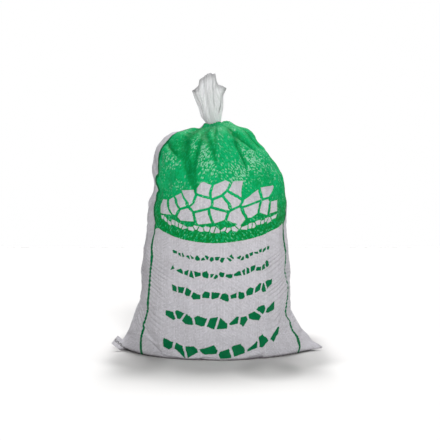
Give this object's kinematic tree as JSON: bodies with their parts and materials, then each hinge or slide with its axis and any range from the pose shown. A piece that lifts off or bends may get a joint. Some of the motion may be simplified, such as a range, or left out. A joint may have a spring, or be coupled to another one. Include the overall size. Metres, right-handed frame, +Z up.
{
  "type": "bag of crushed stone",
  "caption": "Woven plastic sack filled with crushed stone, standing on its sewn bottom, with two corner ears and a gathered neck closed by a twisted wire.",
  "frame": {"origin": "on the ground under the middle of the sack's overall box, on the line of the sewn bottom", "axes": "+Z up along the sack, +X to the right as its printed side is seen, along the sewn bottom from ear to ear, and the printed side faces -Y"},
  "size_m": [0.386, 0.248, 0.512],
  "materials": {
    "woven_cloth": "woven white plastic tape with a slight sheen, printed green on the front",
    "crushed_stone": "rough broken stone",
    "tie_wire": "galvanised wire",
    "sewing_thread": "spun dark grey thread"
  },
  "bodies": {
    "root": {"woven_sack": "woven_cloth", "crushed_stone_fill": "crushed_stone", "neck_tie": "tie_wire", "hem_thread": "sewing_thread"}
  },
  "joints": []
}
